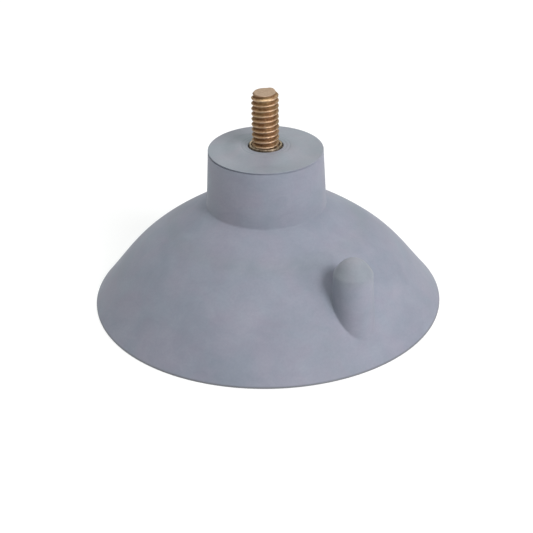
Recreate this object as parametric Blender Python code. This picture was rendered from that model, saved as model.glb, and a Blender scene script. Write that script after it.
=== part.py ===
"""Vacuum suction cup: a moulded rubber cup held by a 1/4-20 threaded stud.

Units are metres. +Z runs up the stud, the origin is the centre of the rim's sealing
plane, and -Y points at the nub on the dome's flank.
"""

import math

import bmesh
import bpy

MM = 0.001

# Rubber cup: outside
RIM_RADIUS = 41.25 * MM
RIM_EDGE_HEIGHT = 0.35 * MM
RIM_LAND_WIDTH = 1.4 * MM
RIM_CHAMFER = 0.25 * MM
BOSS_TOP_RADIUS = 13.4 * MM
BOSS_ROOT_RADIUS = 13.95 * MM
BOSS_TOP_Z = 38.4 * MM
BOSS_ROOT_Z = 24.7 * MM
BOSS_EDGE = 0.3 * MM
SEAT_RADIUS = 6.0 * MM
SEAT_FOOT_RADIUS = 9.5 * MM
SEAT_TOP_Z = 39.1 * MM
DOME_SLOPE_AT_BOSS = math.radians(30.6)
DOME_SLOPE_AT_RIM = math.radians(50.7)
DOME_HANDLE_AT_BOSS = 0.60
DOME_HANDLE_AT_RIM = 0.34
DOME_STEPS = 14

# Rubber cup: cavity under the dome
CAVITY_ROOF_Z = 17.0 * MM
CAVITY_ROOF_HANDLE = 16.0 * MM
CAVITY_LIP_SLOPE = math.radians(51.5)
CAVITY_LIP_HANDLE = 14.7 * MM
CAVITY_STEPS = 10
CAVITY_CUTTER_DEPTH = 4.0 * MM

# Nub moulded on the dome's flank, drawn straight up with a little draft
NUB_DISTANCE = 32.1 * MM
NUB_RADIUS = 4.35 * MM
NUB_FOOT_RADIUS = 5.4 * MM
NUB_WALL_TOP_Z = 19.8 * MM
NUB_CROWN = 3.4 * MM
NUB_CROWN_STEPS = 5
NUB_FOOT_Z = 1.5 * MM

# Threaded stud, 1/4-20 UNC
STUD_RADIUS = 3.175 * MM
THREAD_PITCH = 1.27 * MM
THREAD_DEPTH = 0.69 * MM
THREAD_CREST_SHARE = 1 / 8
THREAD_ROOT_SHARE = 1 / 4
THREAD_PHASE = 0.044
STUD_PROUD = 13.9 * MM
STUD_TIP_RADIUS = 2.6 * MM
THREAD_START = -0.9 * MM
SHANK_RADIUS = 3.0 * MM
STUD_FOOT = -11.6 * MM
STUD_FOOT_CHAMFER = 0.5 * MM
THREAD_ROWS_PER_TURN = 6

# Threaded insert moulded into the boss: (radius, height of the section's lower end)
RECESS_RADIUS = 4.05 * MM
INSERT_TOP_Z = 39.7 * MM
COLLAR_RADIUS = 3.6 * MM
INSERT_BODY_RADIUS = 5.2 * MM
INSERT_GROOVE_RADIUS = 4.4 * MM
INSERT_SECTIONS = (
    (COLLAR_RADIUS, 33.0 * MM),
    (INSERT_BODY_RADIUS, 30.9 * MM),
    (INSERT_GROOVE_RADIUS, 29.7 * MM),
    (INSERT_BODY_RADIUS, 27.6 * MM),
    (INSERT_GROOVE_RADIUS, 26.4 * MM),
    (INSERT_BODY_RADIUS, 24.6 * MM),
)
SPIGOT_RADIUS = 3.6 * MM
RIVET_HEAD_RADIUS = 5.0 * MM
RIVET_HEAD_TOP_Z = 22.4 * MM
RIVET_HEAD_BOTTOM_Z = 21.4 * MM
BORE_RADIUS = 3.3 * MM
BORE_MOUTH_RADIUS = 3.4 * MM
BORE_MOUTH_DEPTH = 0.4 * MM
BORE_FLOOR_Z = 26.5 * MM

# Anchor plate riveted under the insert
PLATE_RADIUS = 10.5 * MM
PLATE_THICKNESS = 1.6 * MM
PLATE_BOTTOM_Z = 22.7 * MM
KEY_HOLE_COUNT = 6
KEY_HOLE_CIRCLE = 7.7 * MM
KEY_HOLE_RADIUS = 1.4 * MM
KEY_PEG_RADIUS = 1.1 * MM

# Clearance between touching pieces, and overlap of shapes that are joined or cut
GAP = 0.3 * MM
OVERLAP = 0.5 * MM

CUP_SEGMENTS = 64
NUB_SEGMENTS = 28
METAL_SEGMENTS = 36
STUD_SEGMENTS = 24
KEY_SEGMENTS = 12

SHARP_ANGLE = math.radians(32.0)
WELD_DISTANCE = 1e-6


def clear_scene():
    for old in list(bpy.data.objects):
        bpy.data.objects.remove(old, do_unlink=True)


def principled(name, colour, roughness, metallic):
    """A plain Principled material in the piece's own colour."""
    material = bpy.data.materials.new(name)
    material.use_nodes = True
    shader = material.node_tree.nodes["Principled BSDF"]
    shader.inputs["Base Color"].default_value = (*colour, 1.0)
    shader.inputs["Roughness"].default_value = roughness
    shader.inputs["Metallic"].default_value = metallic
    material.diffuse_color = (*colour, 1.0)
    return material


def add_object(name, bm, material=None):
    """Turns a bmesh into a smooth-shaded object with sharp corners kept."""
    bmesh.ops.recalc_face_normals(bm, faces=bm.faces)
    mesh = bpy.data.meshes.new(name)
    bm.to_mesh(mesh)
    bm.free()
    mesh.shade_smooth()
    mesh.set_sharp_from_angle(angle=SHARP_ANGLE)
    piece = bpy.data.objects.new(name, mesh)
    bpy.context.collection.objects.link(piece)
    if material:
        mesh.materials.append(material)
    return piece


def as_form(form):
    """Marks an object as a shape that only cuts or joins another one."""
    form.hide_render = True
    form.display_type = "WIRE"
    return form


def combine(piece, form, operation):
    modifier = piece.modifiers.new(f"{operation.lower()}_{form.name}", "BOOLEAN")
    modifier.operation = operation
    modifier.solver = "EXACT"
    modifier.object = as_form(form)


def bezier(start, start_handle, end_handle, end, steps):
    """Points of a cubic curve in the (radius, height) plane, both ends included."""
    points = []
    for step in range(steps + 1):
        t = step / steps
        s = 1.0 - t
        weights = (s**3, 3 * s * s * t, 3 * s * t * t, t**3)
        corners = (start, start_handle, end_handle, end)
        points.append(tuple(sum(w * c[k] for w, c in zip(weights, corners)) for k in (0, 1)))
    return points


def turned(profile, segments, closed=False):
    """Spins a (radius, height) outline about Z. An open outline starts and ends on the axis."""
    bm = bmesh.new()
    verts = [bm.verts.new((radius, 0.0, height)) for radius, height in profile]
    pairs = list(zip(verts, verts[1:]))
    if closed:
        pairs.append((verts[-1], verts[0]))
    edges = [bm.edges.new(pair) for pair in pairs]
    bmesh.ops.spin(
        bm,
        geom=verts + edges,
        cent=(0.0, 0.0, 0.0),
        axis=(0.0, 0.0, 1.0),
        angle=2 * math.pi,
        steps=segments,
        use_merge=True,
    )
    bmesh.ops.remove_doubles(bm, verts=bm.verts, dist=WELD_DISTANCE)
    return bm


def dome_outline():
    """The outside of the dome, from the boss's root down to the rim's edge."""
    start = (BOSS_ROOT_RADIUS, BOSS_ROOT_Z)
    end = (RIM_RADIUS, RIM_EDGE_HEIGHT)
    span = math.dist(start, end)
    boss_handle = DOME_HANDLE_AT_BOSS * span
    rim_handle = DOME_HANDLE_AT_RIM * span
    start_handle = (
        start[0] + boss_handle * math.cos(DOME_SLOPE_AT_BOSS),
        start[1] - boss_handle * math.sin(DOME_SLOPE_AT_BOSS),
    )
    end_handle = (
        end[0] - rim_handle * math.cos(DOME_SLOPE_AT_RIM),
        end[1] + rim_handle * math.sin(DOME_SLOPE_AT_RIM),
    )
    return bezier(start, start_handle, end_handle, end, DOME_STEPS)


def cup_blank():
    """Boss, dome and rim as one solid of revolution, before the hollows are cut."""
    top = [
        (0.0, SEAT_TOP_Z),
        (SEAT_RADIUS, SEAT_TOP_Z),
        (SEAT_FOOT_RADIUS, BOSS_TOP_Z),
        (BOSS_TOP_RADIUS - BOSS_EDGE, BOSS_TOP_Z),
        (BOSS_TOP_RADIUS, BOSS_TOP_Z - BOSS_EDGE),
    ]
    rim = [
        (RIM_RADIUS, RIM_CHAMFER),
        (RIM_RADIUS - RIM_CHAMFER, 0.0),
        (0.0, 0.0),
    ]
    return turned(top + dome_outline() + rim, CUP_SEGMENTS)


def nub_form():
    """Upright tapered post with a domed top, long enough to root in the wall."""
    crown = []
    for step in range(NUB_CROWN_STEPS + 1):
        angle = math.pi / 2 * (1 - step / NUB_CROWN_STEPS)
        radius = 0.0 if step == 0 else NUB_RADIUS * math.cos(angle)
        crown.append((radius, NUB_WALL_TOP_Z + NUB_CROWN * math.sin(angle)))
    foot = [(NUB_FOOT_RADIUS, NUB_FOOT_Z), (0.0, NUB_FOOT_Z)]
    form = add_object("nub_form", turned(crown + foot, NUB_SEGMENTS))
    form.location = (0.0, -NUB_DISTANCE, 0.0)
    return form


def cavity_form():
    """The hollow under the dome, carried on below the rim so that it cuts cleanly."""
    lip_radius = RIM_RADIUS - RIM_CHAMFER - RIM_LAND_WIDTH
    roof = bezier(
        (0.0, CAVITY_ROOF_Z),
        (CAVITY_ROOF_HANDLE, CAVITY_ROOF_Z),
        (
            lip_radius - CAVITY_LIP_HANDLE * math.cos(CAVITY_LIP_SLOPE),
            CAVITY_LIP_HANDLE * math.sin(CAVITY_LIP_SLOPE),
        ),
        (lip_radius, 0.0),
        CAVITY_STEPS,
    )
    below = [(lip_radius, -CAVITY_CUTTER_DEPTH), (0.0, -CAVITY_CUTTER_DEPTH)]
    return add_object("cavity_form", turned(roof + below, CUP_SEGMENTS))


def stepped_outline(sections, top, spread=0.0):
    """Outline of stacked cylinders, grown sideways and lengthways by spread."""
    points = []
    upper = top
    for (radius, lower), (next_radius, _) in zip(sections, sections[1:] + ((0.0, 0.0),)):
        edge = lower + math.copysign(spread, next_radius - radius)
        points += [(radius + spread, upper), (radius + spread, edge)]
        upper = edge
    return points + [(0.0, upper)]


def pocket_form():
    """The space in the boss that the insert and its plate fill, open at the recess."""
    recess = (RECESS_RADIUS - GAP, INSERT_SECTIONS[0][1])
    last_of_body = (INSERT_BODY_RADIUS, PLATE_BOTTOM_Z + PLATE_THICKNESS)
    plate = (PLATE_RADIUS, PLATE_BOTTOM_Z)
    head = (RIVET_HEAD_RADIUS, RIVET_HEAD_BOTTOM_Z)
    sections = (recess, *INSERT_SECTIONS[1:-1], last_of_body, plate, head)
    top = SEAT_TOP_Z + OVERLAP
    outline = [(0.0, top)] + stepped_outline(sections, top, GAP)
    return add_object("pocket_form", turned(outline, METAL_SEGMENTS))


def key_cylinders(name, radius, low, high):
    """One upright cylinder at each of the plate's keying holes."""
    bm = bmesh.new()
    for index in range(KEY_HOLE_COUNT):
        angle = 2 * math.pi * index / KEY_HOLE_COUNT
        made = bmesh.ops.create_cone(
            bm,
            cap_ends=True,
            segments=KEY_SEGMENTS,
            radius1=radius,
            radius2=radius,
            depth=high - low,
        )
        offset = (
            KEY_HOLE_CIRCLE * math.cos(angle),
            KEY_HOLE_CIRCLE * math.sin(angle),
            (high + low) / 2,
        )
        bmesh.ops.translate(bm, verts=made["verts"], vec=offset)
    return add_object(name, bm)


def rubber_cup(material):
    cup = add_object("rubber_cup", cup_blank(), material)
    combine(cup, nub_form(), "UNION")
    combine(cup, cavity_form(), "DIFFERENCE")
    combine(cup, pocket_form(), "DIFFERENCE")
    pocket_floor = PLATE_BOTTOM_Z - GAP
    pocket_roof = PLATE_BOTTOM_Z + PLATE_THICKNESS + GAP
    pegs = key_cylinders(
        "key_peg_form", KEY_PEG_RADIUS, pocket_floor - OVERLAP, pocket_roof + OVERLAP
    )
    combine(cup, pegs, "UNION")
    return cup


def insert_bushing(material):
    """Brass insert: visible collar, grooved body, spigot and riveted head."""
    sections = INSERT_SECTIONS + (
        (SPIGOT_RADIUS, RIVET_HEAD_TOP_Z),
        (RIVET_HEAD_RADIUS, RIVET_HEAD_BOTTOM_Z),
    )
    bore = [
        (0.0, BORE_FLOOR_Z),
        (BORE_RADIUS, BORE_FLOOR_Z),
        (BORE_RADIUS, INSERT_TOP_Z - BORE_MOUTH_DEPTH),
        (BORE_MOUTH_RADIUS, INSERT_TOP_Z),
    ]
    outline = [
        (radius, height - INSERT_TOP_Z)
        for radius, height in bore + stepped_outline(sections, INSERT_TOP_Z)
    ]
    insert = add_object("insert_bushing", turned(outline, METAL_SEGMENTS), material)
    insert.location.z = INSERT_TOP_Z
    return insert


def anchor_plate(material):
    """Round steel plate with keying holes, seated between the insert's body and head."""
    bore = SPIGOT_RADIUS + GAP
    outline = [
        (bore, PLATE_THICKNESS),
        (PLATE_RADIUS, PLATE_THICKNESS),
        (PLATE_RADIUS, 0.0),
        (bore, 0.0),
    ]
    plate = add_object("anchor_plate", turned(outline, METAL_SEGMENTS, closed=True), material)
    plate.location.z = PLATE_BOTTOM_Z
    low = PLATE_BOTTOM_Z - OVERLAP
    high = PLATE_BOTTOM_Z + PLATE_THICKNESS + OVERLAP
    combine(plate, key_cylinders("key_hole_form", KEY_HOLE_RADIUS, low, high), "DIFFERENCE")
    return plate


def thread_radius(angle, height):
    """Radius of the right-hand thread, with the tip's chamfer, at a point of the stud."""
    phase = (height / THREAD_PITCH - angle / (2 * math.pi) + THREAD_PHASE) % 1.0
    from_crest = abs(2 * phase - 1)
    flank = (from_crest - THREAD_CREST_SHARE) / (1 - THREAD_CREST_SHARE - THREAD_ROOT_SHARE)
    radius = STUD_RADIUS - THREAD_DEPTH * min(max(flank, 0.0), 1.0)
    return min(radius, STUD_TIP_RADIUS + STUD_PROUD - height)


def threaded_stud(material):
    """Stud with its own origin in the plane of the boss's top face."""
    bm = bmesh.new()
    rows = round((STUD_PROUD - THREAD_START) / THREAD_PITCH * THREAD_ROWS_PER_TURN)
    angles = [2 * math.pi * k / STUD_SEGMENTS for k in range(STUD_SEGMENTS)]
    rings = [
        [(SHANK_RADIUS - STUD_FOOT_CHAMFER, STUD_FOOT)] * STUD_SEGMENTS,
        [(SHANK_RADIUS, STUD_FOOT + STUD_FOOT_CHAMFER)] * STUD_SEGMENTS,
        [(SHANK_RADIUS, THREAD_START)] * STUD_SEGMENTS,
    ]
    for row in range(1, rows + 1):
        height = THREAD_START + (STUD_PROUD - THREAD_START) * row / rows
        rings.append([(thread_radius(angle, height), height) for angle in angles])
    verts = [
        [
            bm.verts.new((radius * math.cos(angle), radius * math.sin(angle), height))
            for (radius, height), angle in zip(ring, angles)
        ]
        for ring in rings
    ]
    for lower, upper in zip(verts, verts[1:]):
        for k in range(STUD_SEGMENTS):
            after = (k + 1) % STUD_SEGMENTS
            bm.faces.new((lower[k], lower[after], upper[after], upper[k]))
    bm.faces.new(verts[0][::-1])
    bm.faces.new(verts[-1])
    return add_object("threaded_stud", bm, material)


def joint_axis(name, height, parent=None):
    """An empty on a joint's axis, which the moving pieces hang from."""
    empty = bpy.data.objects.new(name, None)
    bpy.context.collection.objects.link(empty)
    empty.location.z = height
    empty.parent = parent
    return empty


def main():
    clear_scene()
    rubber = principled("rubber", (0.265, 0.28, 0.315), 0.62, 0.0)
    stud_brass = principled("stud_brass", (0.62, 0.40, 0.20), 0.32, 1.0)
    insert_brass = principled("insert_brass", (0.52, 0.42, 0.24), 0.38, 1.0)
    plate_steel = principled("plate_steel", (0.50, 0.50, 0.51), 0.40, 1.0)

    rubber_cup(rubber)
    press_axis = joint_axis("press_axis", 0.0)
    insert_bushing(insert_brass).parent = press_axis
    anchor_plate(plate_steel).parent = press_axis
    stud_axis = joint_axis("stud_axis", BOSS_TOP_Z, press_axis)
    threaded_stud(stud_brass).parent = stud_axis


main()
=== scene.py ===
"""Studio view of a stud-mounted rubber suction cup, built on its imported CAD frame.

Units are metres. The frame has +Z up the stud, its origin at the centre of the sealing plane
and the nub towards -Y. Lengths below are in millimetres times MM.
"""

import math

import bmesh
import bpy
import numpy as np
from mathutils import Matrix, Vector, noise
from mathutils.geometry import delaunay_2d_cdt


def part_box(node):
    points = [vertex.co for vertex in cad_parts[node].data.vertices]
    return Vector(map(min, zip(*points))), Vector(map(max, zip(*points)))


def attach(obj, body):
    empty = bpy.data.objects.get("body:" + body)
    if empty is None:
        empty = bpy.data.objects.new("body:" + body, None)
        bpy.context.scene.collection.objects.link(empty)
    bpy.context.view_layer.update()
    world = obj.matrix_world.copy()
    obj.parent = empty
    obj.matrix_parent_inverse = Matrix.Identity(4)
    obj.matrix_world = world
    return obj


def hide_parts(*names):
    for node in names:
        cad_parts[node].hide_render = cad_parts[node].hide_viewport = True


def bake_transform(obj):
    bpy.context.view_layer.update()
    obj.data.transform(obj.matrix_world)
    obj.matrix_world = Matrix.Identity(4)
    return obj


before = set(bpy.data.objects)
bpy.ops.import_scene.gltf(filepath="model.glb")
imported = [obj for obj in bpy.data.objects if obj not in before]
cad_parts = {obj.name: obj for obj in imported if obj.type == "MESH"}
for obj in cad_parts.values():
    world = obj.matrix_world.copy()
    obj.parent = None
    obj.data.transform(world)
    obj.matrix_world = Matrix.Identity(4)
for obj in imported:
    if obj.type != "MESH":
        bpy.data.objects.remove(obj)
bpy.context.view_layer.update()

MM = 0.001
TURN = 2 * math.pi

# The frame's own sizes
cup_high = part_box("rubber_cup")[1]
stud_low, stud_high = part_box("threaded_stud")
insert_low, insert_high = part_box("insert_bushing")
plate_low, plate_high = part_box("anchor_plate")
RIM_RADIUS = cup_high.x
SEAT_TOP_Z = cup_high.z
STUD_TOP_Z = stud_high.z
STUD_FOOT_Z = stud_low.z
INSERT_TOP_Z = insert_high.z
INSERT_FOOT_Z = insert_low.z

# Boss, with the groove under its lip, which is deepest at LIP_GROOVE_ANGLE and gone behind. The
# rows are shares of the groove's height.
BOSS_TOP_RADIUS = 13.3 * MM
BOSS_TOP_Z = 38.4 * MM
BOSS_ROOT_RADIUS = 13.95 * MM
BOSS_ROOT_Z = 24.7 * MM
BOSS_SIDE_STEPS = 12
BOSS_CROWN = 0.22 * MM
BOSS_CROWN_STEPS = 22
BOSS_EDGE_RADIUS = 0.16 * MM
BOSS_FACE_RADIUS = BOSS_TOP_RADIUS - BOSS_EDGE_RADIUS
BOSS_EDGE_STEPS = 6
BOSS_FILLET = 0.35 * MM
BOSS_FILLET_STEPS = 6
LIP_HEIGHT = 0.18 * MM
LIP_GROOVE_HEIGHT = 0.28 * MM
LIP_GROOVE_DEPTH = 0.22 * MM
LIP_GROOVE_ANGLE = math.radians(-150.0)
LIP_GROOVE_ROWS = (0.0, 0.3, 0.7)

# Raised seat round the stud, its two faint rings and the recess inside it
SEAT_RADIUS = 6.0 * MM
SEAT_FOOT_RADIUS = 10.2 * MM
SEAT_STEPS = 24
SEAT_RING_RADII = (4.75 * MM, 5.6 * MM)
SEAT_RING_WIDTH = 0.16 * MM
SEAT_RING_DEPTH = 0.07 * MM
RECESS_RADIUS = 4.05 * MM
RECESS_EDGE = 0.2 * MM
RECESS_EDGE_STEPS = 4
POCKET_TOP_Z = BOSS_TOP_Z - 1.5 * MM

# Dome, rim and hollow. A handle of the dome is a share of its span, and the dome's first ring
# stands off the boss's fillet by DOME_START_GAP.
DOME_SLOPE_AT_BOSS = math.radians(30.6)
DOME_SLOPE_AT_RIM = math.radians(50.7)
DOME_HANDLE_AT_BOSS = 0.60
DOME_HANDLE_AT_RIM = 0.34
DOME_STEPS = 46
DOME_LOOKUP_STEPS = 2000
DOME_START_GAP = 0.2 * MM
RIM_EDGE_HEIGHT = 0.35 * MM
RIM_EDGE_ROUND = 0.16 * MM
RIM_EDGE_STEPS = 5
RIM_LAND_WIDTH = 1.4 * MM
CAVITY_ROOF_Z = 17.0 * MM
CAVITY_ROOF_HANDLE = 16.0 * MM
CAVITY_LIP_SLOPE = math.radians(51.5)
CAVITY_LIP_HANDLE = 14.7 * MM
CAVITY_STEPS = 30
CUP_SEGMENTS = 192

# Unevenness of the moulding, which starts outside the boss and ends before the rim
WAVE_HEIGHT = 0.05 * MM
WAVE_LENGTH = 11.0 * MM
WAVE_FADE_AT_BOSS = 3 * MM
WAVE_FADE_AT_RIM = 4 * MM

# Nub on the dome's flank
NUB_CENTRE = Vector((0.0, -32.1 * MM))
NUB_RADIUS = 4.4 * MM
NUB_DRAFT = 0.05
NUB_EDGE_Z = 19.95 * MM
NUB_CROWN = 3.5 * MM
NUB_CROWN_POWER = 2.3
NUB_EDGE_ROUND = 0.2 * MM
NUB_EDGE_STEPS = 4
NUB_FILLET = 0.4 * MM
NUB_SKIRT_RADIUS = 7.0 * MM
NUB_SEGMENTS = 96
NUB_WALL_STEPS = 12
NUB_CROWN_STEPS = 9
NUB_FILLET_STEPS = 5
NUB_SKIRT_STEPS = 4
NUB_CLEARANCE = 0.35 * MM
NUB_FOOT_HALVINGS = 40

# Stud: plain shank inside the insert, then the thread up to the cut tip
PITCH = 1.27 * MM
STUD_RADIUS = 3.13 * MM
THREAD_DEPTH = 0.7 * MM
THREAD_PHASE = 0.044
THREAD_CREST_SHARE = 0.10
THREAD_ROOT_SHARE = 0.20
THREAD_ROUNDING = 0.25
THREAD_BASE_Z = 37.6 * MM
THREAD_RUN_IN = 0.2 * MM
SHANK_RADIUS = 3.0 * MM
SHANK_CHAMFER = 0.5 * MM
STUD_SEGMENTS = 96
STUD_ROWS_PER_TURN = 20
STUD_SHARP_ANGLE = 50.0
TIP_RADIUS = 2.6 * MM
TIP_FLARE = 0.8
TIP_EDGE_Z = STUD_TOP_Z - 0.12 * MM
TIP_FACE_Z = STUD_TOP_Z - 0.03 * MM
TIP_RING_SHARES = (0.965, 0.9, 0.8, 0.66, 0.5, 0.33, 0.16)

# Wear of the thread: noise read on a cylinder of WEAR_RADIUS millimetres, at rates a millimetre
WEAR_RADIUS = 3.2
COARSE_WEAR = 0.035 * MM
COARSE_WEAR_RATE = 1.7
FINE_WEAR = 0.028 * MM
FINE_WEAR_RATE = 4.3
ROOT_WEAR_SHARE = 0.5
NICK_DEPTH = 0.30 * MM
NICK_RATE = 1.15
NICK_LEVEL = 0.28

# Burr left by the saw: it starts at a share of the tip's radius and rises over another
BURR_ANGLE = math.radians(13.0)
BURR_HALF_WIDTH = math.radians(30.0)
BURR_HEIGHT = 0.24 * MM
BURR_START_SHARE = 0.55
BURR_RISE_SHARE = 0.35
BURR_POWER = 1.5

# Insert: collar with a rounded bead and a ledge, grooved body, spigot and riveted head
METAL_SEGMENTS = 96
METAL_CHAMFER = 0.12 * MM
CHAMFER_MOST_SHARE = 0.3
COLLAR_RADIUS = 3.6 * MM
BEAD_RADIUS = 3.8 * MM
BEAD_TOP_Z = INSERT_TOP_Z
BEAD_ROUND = 0.24 * MM
BEAD_STEPS = 4
LEDGE_RADIUS = 3.93 * MM
LEDGE_TOP_Z = INSERT_TOP_Z - 1.0 * MM
LEDGE_HEIGHT = 0.4 * MM
BORE_RADIUS = 3.25 * MM
BORE_FLOOR_Z = 26.5 * MM
INSERT_BODY_RADIUS = 5.2 * MM
INSERT_GROOVE_RADIUS = 4.4 * MM
SPIGOT_RADIUS = 3.6 * MM
RIVET_HEAD_RADIUS = 5.0 * MM
RIVET_HEAD_TOP_Z = 22.4 * MM
INSERT_SECTIONS = (
    (COLLAR_RADIUS, 33.0 * MM),
    (INSERT_BODY_RADIUS, 30.9 * MM),
    (INSERT_GROOVE_RADIUS, 29.7 * MM),
    (INSERT_BODY_RADIUS, 27.6 * MM),
    (INSERT_GROOVE_RADIUS, 26.4 * MM),
    (INSERT_BODY_RADIUS, 24.6 * MM),
    (SPIGOT_RADIUS, RIVET_HEAD_TOP_Z),
    (RIVET_HEAD_RADIUS, INSERT_FOOT_Z),
)

# Space between the metal and the rubber round it
GAP = 0.3 * MM

TINY = 1e-9
MERGE_DISTANCE = 1e-7

# Mesh attribute that the rubber's material reads its place from
REST_PLACE = "rest_place"

# Camera: VIEW_ANGLE is about +Z from straight in front of the nub, counted towards +X. The lens
# and the sensor are in millimetres, the shift in sensor widths.
VIEW_ANGLE = math.radians(-35.8)
CAMERA_DISTANCE = 295.9 * MM
CAMERA_HEIGHT = 172.0 * MM
CAMERA_AIM_Z = 7.5 * MM
CAMERA_ROLL = math.radians(-0.91)
CAMERA_LENS = 95.4
CAMERA_SHIFT_X = -0.0020
CAMERA_CLIP_START = 10 * MM
SENSOR_WIDTH = 36.0


# --- Meshes ---------------------------------------------------------------------------------


def make_piece(name, bm, sharp_angle=35.0):
    """A smooth-shaded object from a bmesh, with corners over sharp_angle degrees kept crisp."""
    bmesh.ops.recalc_face_normals(bm, faces=bm.faces)
    mesh = bpy.data.meshes.new(name)
    bm.to_mesh(mesh)
    bm.free()
    mesh.shade_smooth()
    mesh.set_sharp_from_angle(angle=math.radians(sharp_angle))
    piece = bpy.data.objects.new(name, mesh)
    bpy.context.scene.collection.objects.link(piece)
    return piece


def remember_places(piece):
    """Keeps each vertex's place at rest, so that the pattern would stay put if the piece's shape
    changed.
    """
    places = np.empty(3 * len(piece.data.vertices), np.float32)
    piece.data.vertices.foreach_get("co", places)
    kept = piece.data.attributes.new(REST_PLACE, "FLOAT_VECTOR", "POINT")
    kept.data.foreach_set("vector", places)


def clamp(value):
    return min(max(value, 0.0), 1.0)


def ease(share):
    """Goes from 0 to 1 with level ends."""
    return share * share * (3 - 2 * share)


def between(start, end, share):
    """The (radius, height) point at a share of the way from start to end."""
    return tuple(start[k] + (end[k] - start[k]) * share for k in (0, 1))


def bezier(*controls, steps):
    """Points of a Bezier curve in the (radius, height) plane, both ends included.

    Three controls make a rounded corner: its start, the sharp corner and its end.
    """
    degree = len(controls) - 1
    points = []
    for step in range(steps + 1):
        t = step / steps
        weights = [
            math.comb(degree, k) * (1 - t) ** (degree - k) * t**k for k in range(degree + 1)
        ]
        points.append(tuple(sum(w * c[k] for w, c in zip(weights, controls)) for k in (0, 1)))
    return points


def stepped_outline(sections, top, spread=0.0):
    """Outline of stacked cylinders, grown sideways and lengthways by spread."""
    points = []
    upper = top
    for (radius, lower), (next_radius, _) in zip(sections, sections[1:] + ((0.0, 0.0),)):
        edge = lower + math.copysign(spread, next_radius - radius)
        points += [(radius + spread, upper), (radius + spread, edge)]
        upper = edge
    return points + [(0.0, upper)]


def dome_controls():
    """Controls of the dome's outside, from the boss's root down to the rim's edge."""
    start = (BOSS_ROOT_RADIUS, BOSS_ROOT_Z)
    end = (RIM_RADIUS, RIM_EDGE_HEIGHT)
    span = math.dist(start, end)
    boss_handle = DOME_HANDLE_AT_BOSS * span
    rim_handle = DOME_HANDLE_AT_RIM * span
    start_handle = (
        start[0] + boss_handle * math.cos(DOME_SLOPE_AT_BOSS),
        start[1] - boss_handle * math.sin(DOME_SLOPE_AT_BOSS),
    )
    end_handle = (
        end[0] - rim_handle * math.cos(DOME_SLOPE_AT_RIM),
        end[1] + rim_handle * math.sin(DOME_SLOPE_AT_RIM),
    )
    return start, start_handle, end_handle, end


DOME_LOOKUP = np.array(bezier(*dome_controls(), steps=DOME_LOOKUP_STEPS))


def dome_height(radius):
    """Height of the dome's outside at a distance from the axis."""
    return float(np.interp(radius, DOME_LOOKUP[:, 0], DOME_LOOKUP[:, 1]))


def boss_face_height(radius):
    """Height of the boss's top face: a slight crown, the raised seat and its two rings."""
    crown = BOSS_CROWN * (1 - (radius / BOSS_FACE_RADIUS) ** 2)
    fall = clamp((SEAT_FOOT_RADIUS - radius) / (SEAT_FOOT_RADIUS - SEAT_RADIUS))
    seat = (SEAT_TOP_Z - BOSS_TOP_Z) * ease(fall)
    rings = sum(math.exp(-(((radius - r) / SEAT_RING_WIDTH) ** 2)) for r in SEAT_RING_RADII)
    return BOSS_TOP_Z + crown + seat - SEAT_RING_DEPTH * rings


def boss_top():
    """The top face, from the recess's edge out to the boss's side."""
    inner = RECESS_RADIUS + RECESS_EDGE
    edge_z = boss_face_height(inner)
    points = bezier(
        (RECESS_RADIUS, edge_z - RECESS_EDGE),
        (RECESS_RADIUS, edge_z),
        (inner, edge_z),
        steps=RECESS_EDGE_STEPS,
    )
    past_rings = SEAT_RING_RADII[-1] + 3 * SEAT_RING_WIDTH
    inner_radii = np.linspace(inner, past_rings, SEAT_STEPS)[1:]
    outer_radii = np.linspace(past_rings, BOSS_FACE_RADIUS, BOSS_CROWN_STEPS)[1:-1]
    points += [(float(r), boss_face_height(r)) for r in (*inner_radii, *outer_radii)]
    points += bezier(
        (BOSS_FACE_RADIUS, BOSS_TOP_Z),
        (BOSS_TOP_RADIUS, BOSS_TOP_Z),
        (BOSS_TOP_RADIUS, BOSS_TOP_Z - BOSS_EDGE_RADIUS),
        steps=BOSS_EDGE_STEPS,
    )
    return points


def boss_side():
    """The drafted side of the boss, from the groove under its moulded lip to the fillet."""
    drops = [LIP_HEIGHT + share * LIP_GROOVE_HEIGHT for share in LIP_GROOVE_ROWS]
    top = (BOSS_TOP_RADIUS, BOSS_TOP_Z - LIP_HEIGHT - LIP_GROOVE_HEIGHT)
    bottom = (BOSS_ROOT_RADIUS, BOSS_ROOT_Z + BOSS_FILLET)
    points = [(BOSS_TOP_RADIUS, BOSS_TOP_Z - drop) for drop in drops]
    steps = range(BOSS_SIDE_STEPS)
    return points + [between(top, bottom, step / BOSS_SIDE_STEPS) for step in steps]


def boss_fillet():
    """The small round where the boss's side meets the dome."""
    run = BOSS_FILLET * math.cos(DOME_SLOPE_AT_BOSS)
    return bezier(
        (BOSS_ROOT_RADIUS, BOSS_ROOT_Z + BOSS_FILLET),
        (BOSS_ROOT_RADIUS, BOSS_ROOT_Z),
        (BOSS_ROOT_RADIUS + run, dome_height(BOSS_ROOT_RADIUS + run)),
        steps=BOSS_FILLET_STEPS,
    )


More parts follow.
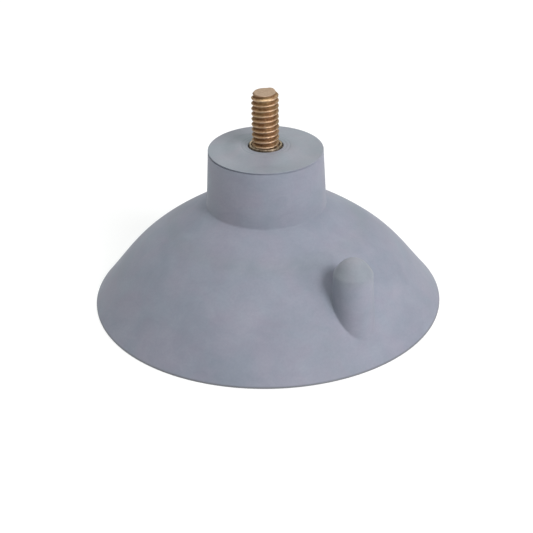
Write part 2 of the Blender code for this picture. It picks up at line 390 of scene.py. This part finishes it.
def rim_outline():
    """The rim's edge, its sealing land and the hollow up to the axis."""
    land = RIM_RADIUS - RIM_LAND_WIDTH
    edge = bezier(
        (RIM_RADIUS, RIM_EDGE_HEIGHT - 0.5 * RIM_EDGE_ROUND),
        (RIM_RADIUS, 0.0),
        (RIM_RADIUS - RIM_EDGE_ROUND, 0.0),
        steps=RIM_EDGE_STEPS,
    )
    roof = bezier(
        (land, 0.0),
        (
            land - CAVITY_LIP_HANDLE * math.cos(CAVITY_LIP_SLOPE),
            CAVITY_LIP_HANDLE * math.sin(CAVITY_LIP_SLOPE),
        ),
        (CAVITY_ROOF_HANDLE, CAVITY_ROOF_Z),
        (0.0, CAVITY_ROOF_Z),
        steps=CAVITY_STEPS,
    )
    return edge + roof


def pocket_outline():
    """The space in the boss for the insert and its plate, from its floor up to the recess."""
    recess = (RECESS_RADIUS - GAP, INSERT_SECTIONS[0][1])
    body_end = (INSERT_BODY_RADIUS, plate_high.z)
    plate = (plate_high.x, plate_low.z)
    head = (RIVET_HEAD_RADIUS, INSERT_FOOT_Z)
    sections = (recess, *INSERT_SECTIONS[1:5], body_end, plate, head)
    return stepped_outline(sections, POCKET_TOP_Z, GAP)[::-1]


def lip_groove(point):
    """How far the groove under the boss's lip goes in: deepest round the front, gone behind."""
    under_lip = BOSS_TOP_Z - point.z - LIP_HEIGHT
    if not 0.0 < under_lip < LIP_GROOVE_HEIGHT:
        return 0.0
    away = math.cos(math.atan2(point.y, point.x) - LIP_GROOVE_ANGLE)
    return LIP_GROOVE_DEPTH * math.sqrt(max(away, 0.0))


def surface_wave(point):
    """Slight unevenness of the moulded dome, faded out towards the boss and the rim."""
    radius = math.hypot(point.x, point.y)
    fade = clamp((radius - BOSS_ROOT_RADIUS) / WAVE_FADE_AT_BOSS)
    fade *= clamp((RIM_RADIUS - radius) / WAVE_FADE_AT_RIM)
    return WAVE_HEIGHT * fade * noise.noise(point / WAVE_LENGTH)


class CupMesh:
    """The moulded cup: a turned body whose dome opens into a patch around the nub."""

    def __init__(self):
        self.bm = bmesh.new()

    def vertex(self, x, y, z, wavy=False):
        """A vertex, moved into the lip's groove or by the moulding's unevenness where it has to."""
        point = Vector((x, y, z))
        if math.hypot(x, y) > BOSS_TOP_RADIUS - LIP_GROOVE_DEPTH:
            point.xy -= point.xy.normalized() * lip_groove(point)
        if wavy:
            point.z += surface_wave(point)
        return self.bm.verts.new(point)

    def ring(self, radius, height, wavy=False):
        """The vertices of one turned ring, or the single one on the axis."""
        if radius < TINY:
            return [self.vertex(0.0, 0.0, height)]
        angles = [TURN * k / CUP_SEGMENTS for k in range(CUP_SEGMENTS)]
        return [
            self.vertex(radius * math.cos(a), radius * math.sin(a), height, wavy) for a in angles
        ]

    def turn(self, outline, dome):
        """Turns the whole section, leaves the nub's patch open and returns the opening's loop.

        dome is the range of the outline's points that lie on the dome.
        """
        rings = []
        for index, (radius, height) in enumerate(outline):
            rings.append(self.ring(radius, height, wavy=index in dome))
        open_edges = set()
        for index, (upper, lower) in enumerate(zip(rings, rings[1:])):
            on_dome = index in dome and index + 1 in dome
            for k in range(CUP_SEGMENTS):
                after = (k + 1) % CUP_SEGMENTS
                if len(upper) == 1:
                    corners = (upper[0], lower[k], lower[after])
                elif len(lower) == 1:
                    corners = (upper[k], lower[0], upper[after])
                else:
                    corners = (upper[k], lower[k], lower[after], upper[after])
                if on_dome and self.in_patch(corners):
                    for pair in zip(corners, (*corners[1:], corners[0])):
                        open_edges ^= {frozenset(pair)}
                else:
                    self.bm.faces.new(corners)
        return self.in_order(open_edges)

    @staticmethod
    def in_patch(corners):
        """Whether a face reaches into the nub's patch."""
        reach = NUB_SKIRT_RADIUS + NUB_CLEARANCE
        return any((v.co.xy - NUB_CENTRE).length < reach for v in corners)

    @staticmethod
    def in_order(edges):
        """The vertices of a closed loop of edges, in order round it."""
        neighbours = {}
        for edge in edges:
            a, b = edge
            neighbours.setdefault(a, []).append(b)
            neighbours.setdefault(b, []).append(a)
        start = min(neighbours, key=lambda v: (v.co.x, v.co.y))
        loop = [start]
        previous, current = None, start
        while True:
            onward = [v for v in neighbours[current] if v is not previous]
            following = min(onward, key=lambda v: (v.co.x, v.co.y)) if not previous else onward[0]
            if following is start:
                return loop
            loop.append(following)
            previous, current = current, following

    def join_loops(self, outer, inner):
        """Triangles between the opening in the dome and the round edge of the nub's patch."""
        verts = outer + inner
        flat = [v.co.xy for v in verts]
        count = len(outer)
        edges = [(k, (k + 1) % count) for k in range(count)]
        edges += [(count + k, count + (k + 1) % len(inner)) for k in range(len(inner))]
        places, _, faces, origins, _, _ = delaunay_2d_cdt(flat, edges, [], 0, TINY)
        for face in faces:
            middle = sum((places[k] for k in face), Vector((0.0, 0.0))) / len(face)
            if within(middle, flat[:count]) and not within(middle, flat[count:]):
                self.bm.faces.new([verts[origins[k][0]] for k in face])

    def nub(self):
        """Skirt on the dome, fillet, drafted wall and crown. Returns the skirt's outer loop."""
        apex = self.vertex(*NUB_CENTRE, NUB_EDGE_Z + NUB_CROWN)
        grid = []
        for k in range(NUB_SEGMENTS):
            angle = TURN * k / NUB_SEGMENTS
            side = Vector((math.cos(angle), math.sin(angle)))
            column = nub_column(side)
            grid.append(
                [self.vertex(*(NUB_CENTRE + side * reach), z, wavy=True) for reach, z in column]
            )
        for k, column in enumerate(grid):
            after = grid[(k + 1) % NUB_SEGMENTS]
            for step in range(len(column) - 1):
                quad = (column[step], after[step], after[step + 1], column[step + 1])
                self.bm.faces.new(quad)
            self.bm.faces.new((column[-1], after[-1], apex))
        return [column[0] for column in grid]


def within(point, loop):
    """Whether a point of the plan lies inside a closed loop of points."""
    inside = False
    for a, b in zip(loop, loop[1:] + loop[:1]):
        if (a.y > point.y) != (b.y > point.y):
            crossing = a.x + (point.y - a.y) * (b.x - a.x) / (b.y - a.y)
            inside ^= point.x < crossing
    return inside


def nub_wall(height):
    """Distance of the nub's drafted wall from its axis."""
    return NUB_RADIUS + NUB_DRAFT * (NUB_EDGE_Z - height)


def nub_crown(share):
    """Point of the nub's domed top at a share of its radius."""
    return (NUB_RADIUS * share, NUB_EDGE_Z + NUB_CROWN * (1 - share**NUB_CROWN_POWER))


def nub_foot(on_dome):
    """Where the nub's wall would meet the dome without a fillet, found by halving.

    on_dome gives the dome's height at a distance from the nub's axis.
    """
    low, high = 0.0, NUB_EDGE_Z
    for _ in range(NUB_FOOT_HALVINGS):
        middle = (low + high) / 2
        if middle < on_dome(nub_wall(middle)):
            low = middle
        else:
            high = middle
    return nub_wall(low), low


def nub_column(side):
    """(distance from the nub's axis, height) up one side of the nub, from the dome to its top."""

    def on_dome(reach):
        return dome_height((NUB_CENTRE + side * reach).length)

    foot = nub_foot(on_dome)
    slope = (on_dome(foot[0] + NUB_FILLET) - foot[1]) / NUB_FILLET
    start_reach = foot[0] + NUB_FILLET / math.hypot(1.0, slope)
    fillet_start = (start_reach, on_dome(start_reach))
    fillet_end = (nub_wall(foot[1] + NUB_FILLET), foot[1] + NUB_FILLET)
    edge_start_z = NUB_EDGE_Z - NUB_EDGE_ROUND
    edge_start = (nub_wall(edge_start_z), edge_start_z)
    edge_share = 1 - NUB_EDGE_ROUND / NUB_RADIUS

    reaches = np.linspace(NUB_SKIRT_RADIUS, start_reach, NUB_SKIRT_STEPS + 1)[:-1]
    heights = np.linspace(fillet_end[1], edge_start_z, NUB_WALL_STEPS + 1)[1:-1]
    column = [(float(reach), on_dome(reach)) for reach in reaches]
    column += bezier(fillet_start, foot, fillet_end, steps=NUB_FILLET_STEPS)
    column += [(nub_wall(z), float(z)) for z in heights]
    column += bezier(
        edge_start, (NUB_RADIUS, NUB_EDGE_Z), nub_crown(edge_share), steps=NUB_EDGE_STEPS
    )
    for step in range(1, NUB_CROWN_STEPS):
        column.append(nub_crown(edge_share * (1 - step / NUB_CROWN_STEPS)))
    return column


def rubber_cup():
    """The moulding as one closed skin, from the pocket's floor over the outside to the hollow."""
    fillet = boss_fillet()
    dome_start = fillet[-1][0] + DOME_START_GAP
    curve = bezier(*dome_controls(), steps=DOME_STEPS)
    dome = [point for point in curve if point[0] > dome_start]
    upper = pocket_outline() + boss_top() + boss_side() + fillet
    cup = CupMesh()
    on_dome = range(len(upper), len(upper) + len(dome))
    opening = cup.turn(upper + dome + rim_outline(), on_dome)
    cup.join_loops(opening, cup.nub())
    return make_piece("moulded_cup", cup.bm)


def lathe(name, outline):
    """A turned piece from a (radius, height) outline that starts and ends on the axis."""
    bm = bmesh.new()
    verts = [bm.verts.new((radius, 0.0, height)) for radius, height in outline]
    edges = [bm.edges.new(pair) for pair in zip(verts, verts[1:])]
    bmesh.ops.spin(
        bm,
        geom=verts + edges,
        cent=(0.0, 0.0, 0.0),
        axis=(0.0, 0.0, 1.0),
        angle=TURN,
        steps=METAL_SEGMENTS,
        use_merge=True,
    )
    bmesh.ops.remove_doubles(bm, verts=bm.verts, dist=MERGE_DISTANCE)
    return make_piece(name, bm)


def soften(outline):
    """Cuts a small chamfer at every corner of an outline, apart from its two ends."""
    points = [outline[0]]
    for before, at, after in zip(outline, outline[1:], outline[2:]):
        for other in (before, after):
            share = min(METAL_CHAMFER / math.dist(at, other), CHAMFER_MOST_SHARE)
            points.append(between(at, other, share))
    return points + [outline[-1]]


def collar_bead():
    """The rounded rim of the collar, from its bore over the top to the ledge below it."""
    inner_start = (BORE_RADIUS, BEAD_TOP_Z - BEAD_ROUND)
    inner_end = (BORE_RADIUS + BEAD_ROUND, BEAD_TOP_Z)
    outer_start = (BEAD_RADIUS - BEAD_ROUND, BEAD_TOP_Z)
    outer_end = (BEAD_RADIUS, BEAD_TOP_Z - BEAD_ROUND)
    rounded = bezier(inner_start, (BORE_RADIUS, BEAD_TOP_Z), inner_end, steps=BEAD_STEPS)
    rounded += bezier(outer_start, (BEAD_RADIUS, BEAD_TOP_Z), outer_end, steps=BEAD_STEPS)
    return rounded + [(BEAD_RADIUS, LEDGE_TOP_Z), (LEDGE_RADIUS, LEDGE_TOP_Z)]


def insert_bushing():
    """The insert: its bore, the collar that shows in the recess, and the body in the rubber."""
    bore = [(0.0, BORE_FLOOR_Z), (BORE_RADIUS, BORE_FLOOR_Z)]
    ledge_foot = LEDGE_TOP_Z - LEDGE_HEIGHT
    body = [(LEDGE_RADIUS, ledge_foot)] + stepped_outline(INSERT_SECTIONS, ledge_foot)
    return lathe("tapped_insert", soften(bore + collar_bead() + body))


def thread_radius(angle, height):
    """Radius of the right-hand 1/4-20 thread, slightly uneven where it was cut."""
    phase = ((height - BOSS_TOP_Z) / PITCH - angle / TURN + THREAD_PHASE) % 1.0
    from_crest = abs(2 * phase - 1)
    flank = (from_crest - THREAD_CREST_SHARE) / (1 - THREAD_CREST_SHARE - THREAD_ROOT_SHARE)
    flank = clamp(flank)
    depth = (1 - THREAD_ROUNDING) * flank + THREAD_ROUNDING * ease(flank)
    spot = Vector((math.cos(angle) * WEAR_RADIUS, math.sin(angle) * WEAR_RADIUS, height / MM))
    wear = COARSE_WEAR * noise.noise(spot * COARSE_WEAR_RATE)
    wear += FINE_WEAR * noise.noise(spot * FINE_WEAR_RATE)
    nick = NICK_DEPTH * max(noise.noise(spot * NICK_RATE) - NICK_LEVEL, 0.0)
    wear *= 1 - (1 - ROOT_WEAR_SHARE) * depth
    return STUD_RADIUS - THREAD_DEPTH * depth + wear - nick * (1 - depth)


def burr(angle, radius):
    """Height of the sliver of thread left standing on the cut end."""
    offset = (angle - BURR_ANGLE + math.pi) % TURN - math.pi
    across = max(0.0, 1 - (offset / BURR_HALF_WIDTH) ** 2)
    outward = clamp((radius / TIP_RADIUS - BURR_START_SHARE) / BURR_RISE_SHARE)
    return BURR_HEIGHT * across * outward**BURR_POWER


def shank_sections():
    """(radius, height) up the plain shank, which the insert hides."""
    return [
        (SHANK_RADIUS - SHANK_CHAMFER, STUD_FOOT_Z),
        (SHANK_RADIUS, STUD_FOOT_Z + SHANK_CHAMFER),
        (SHANK_RADIUS, THREAD_BASE_Z - THREAD_RUN_IN),
    ]


def stud_rings(angles):
    """Rings of (radius, height) points up the stud: shank, thread and sawn face."""
    rings = [[section] * len(angles) for section in shank_sections()]
    rows = round((TIP_EDGE_Z - THREAD_BASE_Z) / PITCH * STUD_ROWS_PER_TURN)
    for row in range(rows + 1):
        height = THREAD_BASE_Z + (TIP_EDGE_Z - THREAD_BASE_Z) * row / rows
        widest = TIP_RADIUS + (TIP_EDGE_Z - height) * TIP_FLARE
        rings.append([(min(thread_radius(a, height), widest), height) for a in angles])
    sawn = [rings.pop()]
    sawn += [[(TIP_RADIUS * share, TIP_FACE_Z)] * len(angles) for share in TIP_RING_SHARES]
    for ring in sawn:
        rings.append([(radius, z + burr(a, radius)) for (radius, z), a in zip(ring, angles)])
    return rings


def threaded_stud():
    """The stud as one closed skin, capped at its foot and at the sawn tip."""
    bm = bmesh.new()
    angles = [TURN * k / STUD_SEGMENTS for k in range(STUD_SEGMENTS)]
    rings = []
    for ring in stud_rings(angles):
        points = [
            (radius * math.cos(a), radius * math.sin(a), z) for (radius, z), a in zip(ring, angles)
        ]
        rings.append([bm.verts.new(point) for point in points])
    foot = bm.verts.new((0.0, 0.0, STUD_FOOT_Z))
    tip = bm.verts.new((0.0, 0.0, TIP_FACE_Z))
    for k in range(STUD_SEGMENTS):
        after = (k + 1) % STUD_SEGMENTS
        for lower, upper in zip(rings, rings[1:]):
            bm.faces.new((lower[k], lower[after], upper[after], upper[k]))
        bm.faces.new((rings[0][after], rings[0][k], foot))
        bm.faces.new((rings[-1][k], rings[-1][after], tip))
    return make_piece("cut_stud", bm, STUD_SHARP_ANGLE)


# --- Materials ------------------------------------------------------------------------------

# Shades are stops of a colour ramp: (level of its pattern from 0 to 1, colour). Tints multiply.
RUBBER_SHADES = (
    (0.34, (0.233, 0.249, 0.298)),
    (0.50, (0.264, 0.275, 0.330)),
    (0.66, (0.297, 0.306, 0.361)),
)
RUBBER_TINTS = ((0.36, (0.945, 1.00, 1.01)), (0.64, (1.00, 0.975, 1.00)))
RUBBER_SPECKLE = 0.02
TOP_FACE_TINT = (0.99, 1.0, 0.94)
RIM_SHADE_COLOUR = (0.17, 0.18, 0.20)
THREAD_SHADE_AND_DIRT_TO_WEAR_AND_HIGHLIGHT = (
    (0.05, (0.27, 0.155, 0.082)),
    (0.42, (0.46, 0.280, 0.150)),
    (0.78, (0.62, 0.420, 0.262)),
    (1.00, (0.70, 0.515, 0.360)),
)
OLIVE_STAIN = (0.40, 0.33, 0.17)
SAWN_SHADES = ((0.3, (0.34, 0.240, 0.170)), (0.7, (0.59, 0.445, 0.330)))
INSERT_SHADES = (
    (0.34, (0.16, 0.122, 0.085)),
    (0.50, (0.35, 0.275, 0.195)),
    (0.66, (0.62, 0.510, 0.385)),
)
ZINC_SHADES = ((0.3, (0.33, 0.34, 0.35)), (0.7, (0.60, 0.60, 0.60)))
TABLE_SHADES = ((0.3, (0.46, 0.46, 0.46)), (0.7, (0.50, 0.50, 0.50)))
WHITE = (1.0, 1.0, 1.0, 1.0)


class Nodes:
    """Short spellings for building a node material."""

    def __init__(self, name):
        self.material = bpy.data.materials.new(name)
        self.material.use_nodes = True
        self.tree = self.material.node_tree
        self.shader = self.tree.nodes["Principled BSDF"]
        self.place = self.tree.nodes.new("ShaderNodeTexCoord").outputs["Object"]

    def node(self, kind, inputs=None, **settings):
        """A new node: inputs feed its sockets by name or number, settings are its own options."""
        made = self.tree.nodes.new(f"ShaderNode{kind}")
        for key, value in settings.items():
            setattr(made, key, value)
        for key, value in (inputs or {}).items():
            self.feed(made.inputs[key], value)
        return made

    def feed(self, socket, value):
        """Links a socket to another one, or sets it to a plain value."""
        if isinstance(value, bpy.types.NodeSocket):
            self.tree.links.new(value, socket)
        else:
            socket.default_value = value

    def noise(self, feature, detail=3.0, roughness=0.5, distortion=0.0, place=None):
        """Noise whose blotches are about feature metres across."""
        made = self.node(
            "TexNoise",
            {
                "Vector": place or self.place,
                "Scale": 1.0 / feature,
                "Detail": detail,
                "Roughness": roughness,
                "Distortion": distortion,
            },
        )
        return made.outputs["Fac"]

    def stretched(self, x, y, z):
        """The place with its axes scaled, which squeezes a pattern along an axis over 1."""
        return self.node(
            "Mapping", {"Vector": self.place, "Scale": (x, y, z)}
        ).outputs["Vector"]

    def span(self, value, low, high, to_low=0.0, to_high=1.0):
        """Maps low to high onto to_low to to_high, held at both ends."""
        inputs = {
            "Value": value,
            "From Min": low,
            "From Max": high,
            "To Min": to_low,
            "To Max": to_high,
        }
        return self.node("MapRange", inputs, clamp=True).outputs["Result"]

    def math(self, operation, a, b=0.0):
        return self.node("Math", {0: a, 1: b}, operation=operation).outputs[0]

    def mix(self, factor, a, b, blend="MIX"):
        """Mixes two colours: sockets 6 and 7 of a Mix node are its colours, 2 is the result."""
        made = self.node("Mix", data_type="RGBA", blend_type=blend)
        for key, value in ((0, factor), (6, a), (7, b)):
            if isinstance(value, tuple) and len(value) == 3:
                value = (*value, 1.0)
            self.feed(made.inputs[key], value)
        return made.outputs[2]

    def tinted(self, colour, tint):
        return self.mix(1.0, colour, tint, "MULTIPLY")

    def ramp(self, value, stops):
        """Colours a value by the stops of a ramp."""
        made = self.node("ValToRGB", {"Fac": value})
        elements = made.color_ramp.elements
        while len(elements) < len(stops):
            elements.new(0.5)
        for element, (place, colour) in zip(elements, stops):
            element.position = place
            element.color = (*colour, 1.0)
        return made.outputs["Color"]

    def axis(self, letter):
        parts = self.node("SeparateXYZ", {"Vector": self.place})
        return parts.outputs[letter]

    def radius(self):
        """Distance from the Z axis."""
        flat = self.node("VectorMath", {0: self.place, 1: (1.0, 1.0, 0.0)}, operation="MULTIPLY")
        return self.node(
            "VectorMath", {0: flat.outputs["Vector"]}, operation="LENGTH"
        ).outputs["Value"]

    def bump(self, height, strength, distance, onto=None):
        inputs = {"Height": height, "Strength": strength, "Distance": distance}
        if onto:
            inputs["Normal"] = onto
        return self.node("Bump", inputs).outputs["Normal"]

    def finish(self, colour, roughness, normal, **constants):
        """Feeds the shader. The constants name its other sockets, with _ for a space."""
        self.feed(self.shader.inputs["Base Color"], colour)
        self.feed(self.shader.inputs["Roughness"], roughness)
        self.feed(self.shader.inputs["Normal"], normal)
        for key, value in constants.items():
            self.shader.inputs[key.replace("_", " ")].default_value = value
        return self.material


def rubber_material():
    """Blue-grey moulded rubber: cloudy and finely grained, with painted shade along the rim where
    it meets the table.

    Its boss top and nub top are tinted a little greyer. The pattern keeps to the rest shape.
    """
    n = Nodes("moulded_rubber")
    n.place = n.node("Attribute", attribute_name=REST_PLACE).outputs["Vector"]
    clouds = n.noise(16 * MM, detail=3.0, roughness=0.55, distortion=0.4)
    low = n.stretched(1.0, 1.0, 1.7)
    smears = n.noise(5 * MM, detail=4.0, roughness=0.6, distortion=0.8, place=low)
    grain = n.noise(0.5 * MM, detail=2.0)
    tone = n.math("ADD", n.math("MULTIPLY", clouds, 0.6), n.math("MULTIPLY", smears, 0.4))
    hue = n.noise(8 * MM, detail=4.0, roughness=0.6, distortion=0.6)
    colour = n.tinted(n.ramp(tone, RUBBER_SHADES), n.ramp(hue, RUBBER_TINTS))
    speckle = n.span(grain, 0.35, 0.65, 1 - RUBBER_SPECKLE, 1 + RUBBER_SPECKLE)
    grey = n.node("CombineXYZ", {0: speckle, 1: speckle, 2: speckle}).outputs[0]
    colour = n.tinted(colour, grey)
    height = n.axis("Z")
    on_boss_top = n.span(height, BOSS_TOP_Z - 0.3 * MM, BOSS_TOP_Z)
    on_nub_top = n.math(
        "MULTIPLY",
        n.span(height, NUB_EDGE_Z - 2.0 * MM, NUB_EDGE_Z + 0.5 * MM),
        n.span(n.radius(), 20 * MM, 24 * MM),
    )
    # The boss top and the nub's top are tinted a little greyer.
    greyer_tops = n.math("MAXIMUM", on_boss_top, on_nub_top)
    colour = n.mix(greyer_tops, colour, n.tinted(colour, TOP_FACE_TINT))
    # Painted shade: the rim's lowest edge, where it stands on the table, is darkened.
    rim = n.span(height, RIM_EDGE_HEIGHT, RIM_EDGE_HEIGHT + 0.25 * MM, 1.0, 0.0)
    colour = n.mix(rim, colour, RIM_SHADE_COLOUR)
    roughness = n.span(smears, 0.3, 0.7, 0.52, 0.68)
    normal = n.bump(clouds, 0.25, 0.4 * MM)
    normal = n.bump(smears, 0.35, 0.12 * MM, normal)
    normal = n.bump(grain, 0.20, 0.03 * MM, normal)
    return n.finish(colour, roughness, normal, Specular_IOR_Level=0.35, Sheen_Weight=0.08)


def stud_material():
    """Coppery brass: painted shade and dirt in the roots, rubbed crests with a painted highlight,
    olive stains, tool marks and a sawn tip.
    """
    n = Nodes("coppery_brass")
    radius = n.radius()
    blotch = n.noise(1.6 * MM, detail=4.0, roughness=0.6)
    fine = n.noise(0.25 * MM, detail=3.0)
    grit = n.noise(0.5 * MM, detail=3.0, roughness=0.7)
    # Painted shade and dirt darken the thread towards its roots, and wear with a painted highlight
    # lightens its crests.
    depth = n.span(radius, STUD_RADIUS - THREAD_DEPTH, STUD_RADIUS)
    root_shade_and_blotch = n.math("ADD", depth, n.span(blotch, 0.3, 0.7, -0.22, 0.22))
    root_shade_and_blotch = n.math("ADD", root_shade_and_blotch, n.span(grit, 0.3, 0.7, -0.32, 0.30))
    stain = n.span(n.noise(3.2 * MM, detail=2.0), 0.50, 0.66, 0.0, 0.30)
    colour = n.mix(stain, n.ramp(root_shade_and_blotch, THREAD_SHADE_AND_DIRT_TO_WEAR_AND_HIGHLIGHT), OLIVE_STAIN)
    on_tip = n.span(n.axis("Z"), STUD_TOP_Z - 0.2 * MM, STUD_TOP_Z - 0.1 * MM)
    saw = n.noise(0.35 * MM, detail=3.0, place=n.stretched(1.0, 8.0, 1.0))
    colour = n.mix(on_tip, colour, n.ramp(saw, SAWN_SHADES))
    roughness = n.span(fine, 0.3, 0.7, 0.43, 0.60)
    roughness = n.math("ADD", roughness, n.span(depth, 0.0, 0.7, 0.16, 0.0))
    turned = n.noise(0.22 * MM, detail=2.0, place=n.stretched(1.0, 1.0, 4.0))
    normal = n.bump(turned, 0.35, 0.02 * MM)
    normal = n.bump(grit, 0.45, 0.07 * MM, normal)
    normal = n.bump(fine, 0.35, 0.03 * MM, normal)
    return n.finish(colour, roughness, normal, Metallic=1.0)


def insert_material():
    """Dull yellow brass, blotched by dirt and rubber, with fine turning rings."""
    n = Nodes("turned_brass")
    blotch = n.noise(1.1 * MM, detail=4.0, roughness=0.7)
    colour = n.ramp(blotch, INSERT_SHADES)
    rings = n.noise(0.12 * MM, detail=2.0, place=n.stretched(0.2, 0.2, 1.0))
    roughness = n.span(blotch, 0.3, 0.7, 0.42, 0.60)
    normal = n.bump(rings, 0.3, 0.02 * MM)
    normal = n.bump(blotch, 0.3, 0.05 * MM, normal)
    return n.finish(colour, roughness, normal, Metallic=1.0)


def plate_material():
    """Stamped, zinc-washed steel with spangle and fine scratches."""
    n = Nodes("zinc_steel")
    spangle = n.noise(2.2 * MM, detail=5.0, roughness=0.7, distortion=1.2)
    colour = n.ramp(spangle, ZINC_SHADES)
    scratches = n.noise(0.4 * MM, detail=3.0, place=n.stretched(1.0, 12.0, 1.0))
    roughness = n.span(spangle, 0.3, 0.7, 0.30, 0.48)
    normal = n.bump(scratches, 0.25, 0.02 * MM)
    return n.finish(colour, roughness, normal, Metallic=1.0)


def table_material():
    """Pale table with a slight glow, so that it goes white as in a product photograph."""
    n = Nodes("white_table")
    haze = n.noise(300 * MM, detail=2.0)
    normal = n.bump(n.noise(1.0 * MM), 0.05, 0.05 * MM)
    return n.finish(
        n.ramp(haze, TABLE_SHADES),
        0.8,
        normal,
        Emission_Color=WHITE,
        Emission_Strength=TABLE_GLOW,
    )


def clothe(piece, material):
    """Gives a piece one material in place of any that it has."""
    piece.data.materials.clear()
    piece.data.materials.append(material)


# --- Stage ----------------------------------------------------------------------------------

TABLE_RADIUS = 4.0
TABLE_SEGMENTS = 96
TABLE_GLOW = 0.57
WORLD_STRENGTH = 0.05
LIGHT_DISTANCE = 1.0
LIGHT_TARGET_Z = 15 * MM

WARM = (1.0, 0.985, 0.995)
NEUTRAL = (1.0, 1.0, 1.0)
COOL = (0.945, 1.0, 0.955)

# name: (degrees right of the view, degrees up, width, height, watts, tint), sizes in metres
LIGHTS = {
    "key": (41.0, 38.0, 0.36, 0.36, 5.3, WARM),
    "key_spill": (62.0, 14.0, 0.50, 0.36, 2.5, WARM),
    "overhead": (0.0, 88.0, 0.40, 0.40, 4.4, NEUTRAL),
    "left_fill": (-95.0, 40.0, 0.60, 0.50, 1.5, COOL),
    "back_fill": (175.0, 38.0, 0.90, 0.36, 3.2, COOL),
}


def toward(angle_from_view, elevation):
    """Unit vector towards an angle right of the camera and an angle up, both in degrees."""
    heading = VIEW_ANGLE - math.pi / 2 + math.radians(angle_from_view)
    rise = math.radians(elevation)
    return Vector(
        (
            math.cos(heading) * math.cos(rise),
            math.sin(heading) * math.cos(rise),
            math.sin(rise),
        )
    )


def add_lights():
    target = Vector((0.0, 0.0, LIGHT_TARGET_Z))
    for name, (angle, elevation, width, height, watts, tint) in LIGHTS.items():
        lamp = bpy.data.lights.new(name, "AREA")
        lamp.shape = "RECTANGLE"
        lamp.size = width
        lamp.size_y = height
        lamp.energy = watts
        lamp.color = tint
        light = bpy.data.objects.new(name, lamp)
        bpy.context.scene.collection.objects.link(light)
        place = target + toward(angle, elevation) * LIGHT_DISTANCE
        light.location = place
        light.rotation_euler = (target - place).to_track_quat("-Z", "Y").to_euler()


def add_world():
    world = bpy.data.worlds.new("studio")
    world.use_nodes = True
    background = world.node_tree.nodes["Background"]
    background.inputs["Color"].default_value = WHITE
    background.inputs["Strength"].default_value = WORLD_STRENGTH
    bpy.context.scene.world = world


def add_table():
    bm = bmesh.new()
    bmesh.ops.create_circle(bm, cap_ends=True, segments=TABLE_SEGMENTS, radius=TABLE_RADIUS)
    floor = make_piece("table", bm)
    clothe(floor, table_material())


def add_camera():
    data = bpy.data.cameras.new("camera")
    data.lens = CAMERA_LENS
    data.sensor_width = SENSOR_WIDTH
    data.shift_x = CAMERA_SHIFT_X
    data.clip_start = CAMERA_CLIP_START
    camera = bpy.data.objects.new("camera", data)
    bpy.context.scene.collection.objects.link(camera)
    level = toward(0.0, 0.0)
    place = level * CAMERA_DISTANCE + Vector((0.0, 0.0, CAMERA_HEIGHT))
    aim = Vector((0.0, 0.0, CAMERA_AIM_Z)) - place
    turn = aim.to_track_quat("-Z", "Y").to_matrix().to_4x4()
    camera.matrix_world = (
        Matrix.Translation(place) @ turn @ Matrix.Rotation(CAMERA_ROLL, 4, "Z")
    )
    bpy.context.scene.camera = camera


# --- The scene ------------------------------------------------------------------------------


def build():
    bpy.context.scene.view_settings.view_transform = "Standard"
    add_world()
    add_lights()
    add_table()
    add_camera()

    cup = rubber_cup()
    remember_places(cup)
    clothe(cup, rubber_material())
    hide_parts("rubber_cup")
    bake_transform(cup)

    stud = threaded_stud()
    clothe(stud, stud_material())
    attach(stud, "stud")
    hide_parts("threaded_stud")

    insert = insert_bushing()
    clothe(insert, insert_material())
    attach(insert, "core")
    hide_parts("insert_bushing")

    clothe(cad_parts["anchor_plate"], plate_material())


build()
